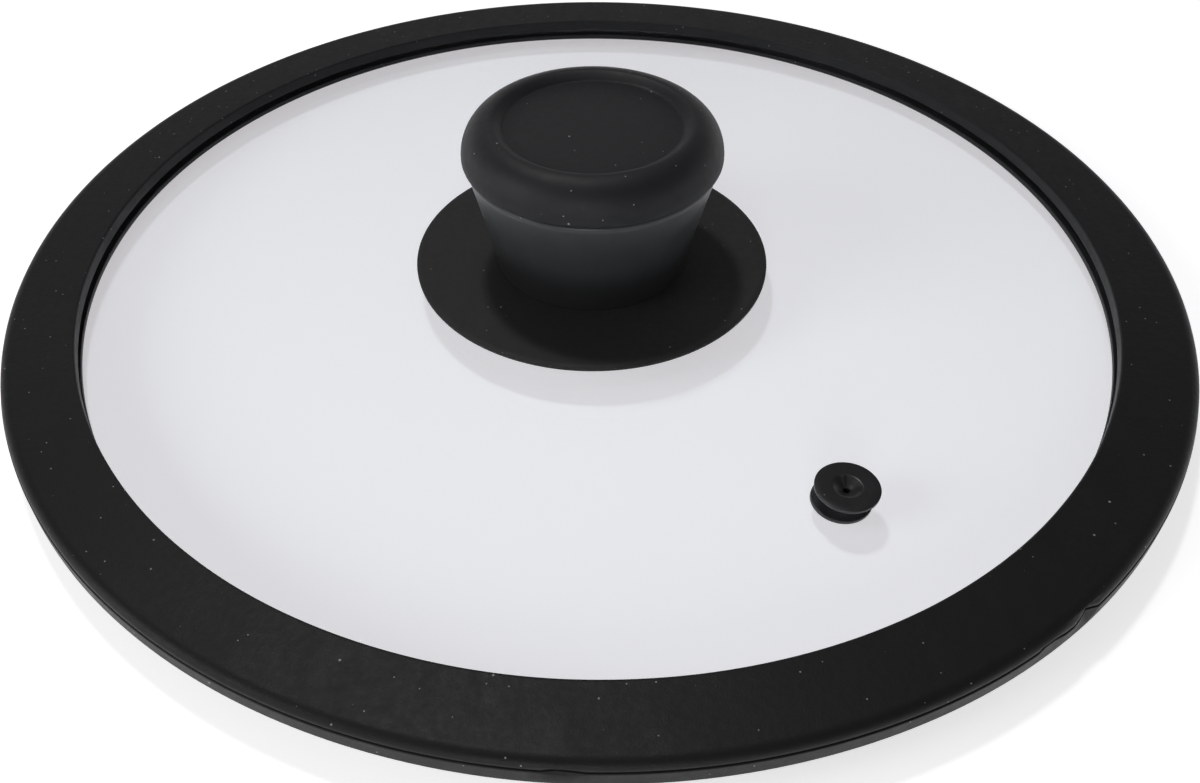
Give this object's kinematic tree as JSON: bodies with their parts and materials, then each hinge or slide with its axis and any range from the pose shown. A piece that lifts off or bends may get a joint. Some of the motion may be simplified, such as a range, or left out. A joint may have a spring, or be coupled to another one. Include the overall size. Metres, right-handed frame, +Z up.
{
  "type": "glass pan lid",
  "caption": "Flat round glass lid with a wide black silicone rim, a black screwed-on mushroom knob on a thin base disc and a small steam vent.",
  "frame": {"origin": "centre of the plane that the rim's locating foot rests on", "axes": "+Z up through the knob's screw, -Y towards the viewer, the steam vent is in the +X, -Y quarter"},
  "size_m": [0.253, 0.253, 0.0429],
  "materials": {
    "glass": "polished",
    "silicone": "matte",
    "cap_plastic": "matte",
    "neck_plastic": "satin",
    "base_plastic": "matte",
    "steel": "satin",
    "brass": "satin"
  },
  "bodies": {
    "lid": {"glass_pane": "glass", "silicone_rim": "silicone", "vent_grommet": "silicone", "base_disc": "base_plastic", "lower_gasket": "silicone", "steel_washer": "steel"},
    "knob": {"knob_cap": "cap_plastic", "knob_neck": "neck_plastic", "thread_insert": "brass"},
    "screw": {"knob_screw": "steel"}
  },
  "joints": [
    {"name": "knob_rise", "type": "slide", "parent": "lid", "child": "knob", "axis": [0, 0, 1], "range_m": [0, 0.012]},
    {"name": "screw_turn", "type": "hinge", "parent": "lid", "child": "screw", "pos_m": [0, 0, 0.002], "axis": [0, 0, 1], "range_deg": [-5401, 1]}
  ],
  "couplings": [
    {"joint": "screw_turn", "follows": "knob_rise", "rad_per_m": -7854}
  ]
}
